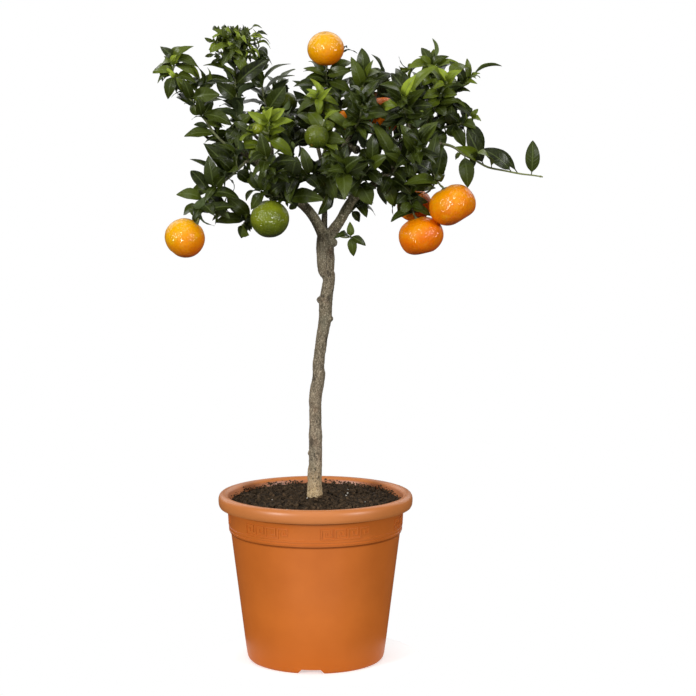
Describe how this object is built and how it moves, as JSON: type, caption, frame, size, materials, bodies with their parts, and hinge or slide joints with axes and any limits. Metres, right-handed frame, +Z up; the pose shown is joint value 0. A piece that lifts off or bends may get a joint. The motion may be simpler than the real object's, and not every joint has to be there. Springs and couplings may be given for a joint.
{
  "type": "potted mandarin tree",
  "caption": "Small standard mandarin tree with ripe and green fruit, its bare trunk standing in soil in a round terracotta-coloured plastic pot with a Greek key band.",
  "frame": {"origin": "on the floor, under the middle of the whole plant's bounding box", "axes": "+Z up along the trunk, +X to the right and +Y to the back as pictured"},
  "size_m": [0.4692, 0.3239, 0.784],
  "materials": {
    "pot_plastic": "satin",
    "soil": "matte",
    "bark": "matte",
    "leaf_green": "satin",
    "mandarin_skin": "satin",
    "green_skin": "satin"
  },
  "bodies": {
    "root": {"pot": "pot_plastic", "soil": "soil", "trunk_and_limbs": "bark", "mandarin_top": "mandarin_skin", "mandarin_left": "mandarin_skin", "mandarin_low_right": "mandarin_skin", "mandarin_right": "mandarin_skin", "mandarin_back_right": "mandarin_skin", "mandarin_inner": "mandarin_skin", "mandarin_small": "mandarin_skin", "green_mandarin_left": "green_skin", "green_mandarin_centre": "green_skin", "green_mandarin_back": "green_skin", "green_mandarin_small": "green_skin", "leafy_stem_left_tip": "leaf_green", "leafy_stem_left_crown": "leaf_green", "leafy_stem_left_inner": "leaf_green", "leafy_stem_left_rosette": "leaf_green", "leafy_stem_left_low": "leaf_green", "leafy_stem_left_under": "leaf_green", "leafy_stem_left_front": "leaf_green", "leafy_stem_centre_left": "leaf_green", "leafy_stem_centre_green": "leaf_green", "leafy_stem_top_fruit": "leaf_green", "leafy_stem_top_rosette": "leaf_green", "leafy_stem_top_centre": "leaf_green", "leafy_stem_right_rosette": "leaf_green", "leafy_stem_right_top": "leaf_green", "leafy_stem_right_bright": "leaf_green", "leafy_stem_right_spray": "leaf_green", "leafy_stem_right_side": "leaf_green", "leafy_stem_far_right": "leaf_green", "leafy_stem_right_hang": "leaf_green", "leafy_stem_right_drop": "leaf_green", "leafy_stem_right_inner": "leaf_green", "leafy_stem_low_centre": "leaf_green", "leafy_stem_trunk_star": "leaf_green", "leafy_stem_low_right": "leaf_green", "leafy_stem_back_left": "leaf_green", "leafy_stem_back_left_low": "leaf_green", "leafy_stem_back_left_top": "leaf_green", "leafy_stem_back_middle": "leaf_green", "leafy_stem_back_middle_low": "leaf_green", "leafy_stem_back_middle_top": "leaf_green", "leafy_stem_back_right": "leaf_green", "leafy_stem_back_right_low": "leaf_green", "leafy_stem_back_right_top": "leaf_green", "leafy_stem_front_left": "leaf_green", "leafy_stem_front_middle": "leaf_green", "leafy_stem_front_middle_top": "leaf_green", "leafy_stem_front_right": "leaf_green", "leafy_stem_front_right_top": "leaf_green"}
  },
  "joints": []
}
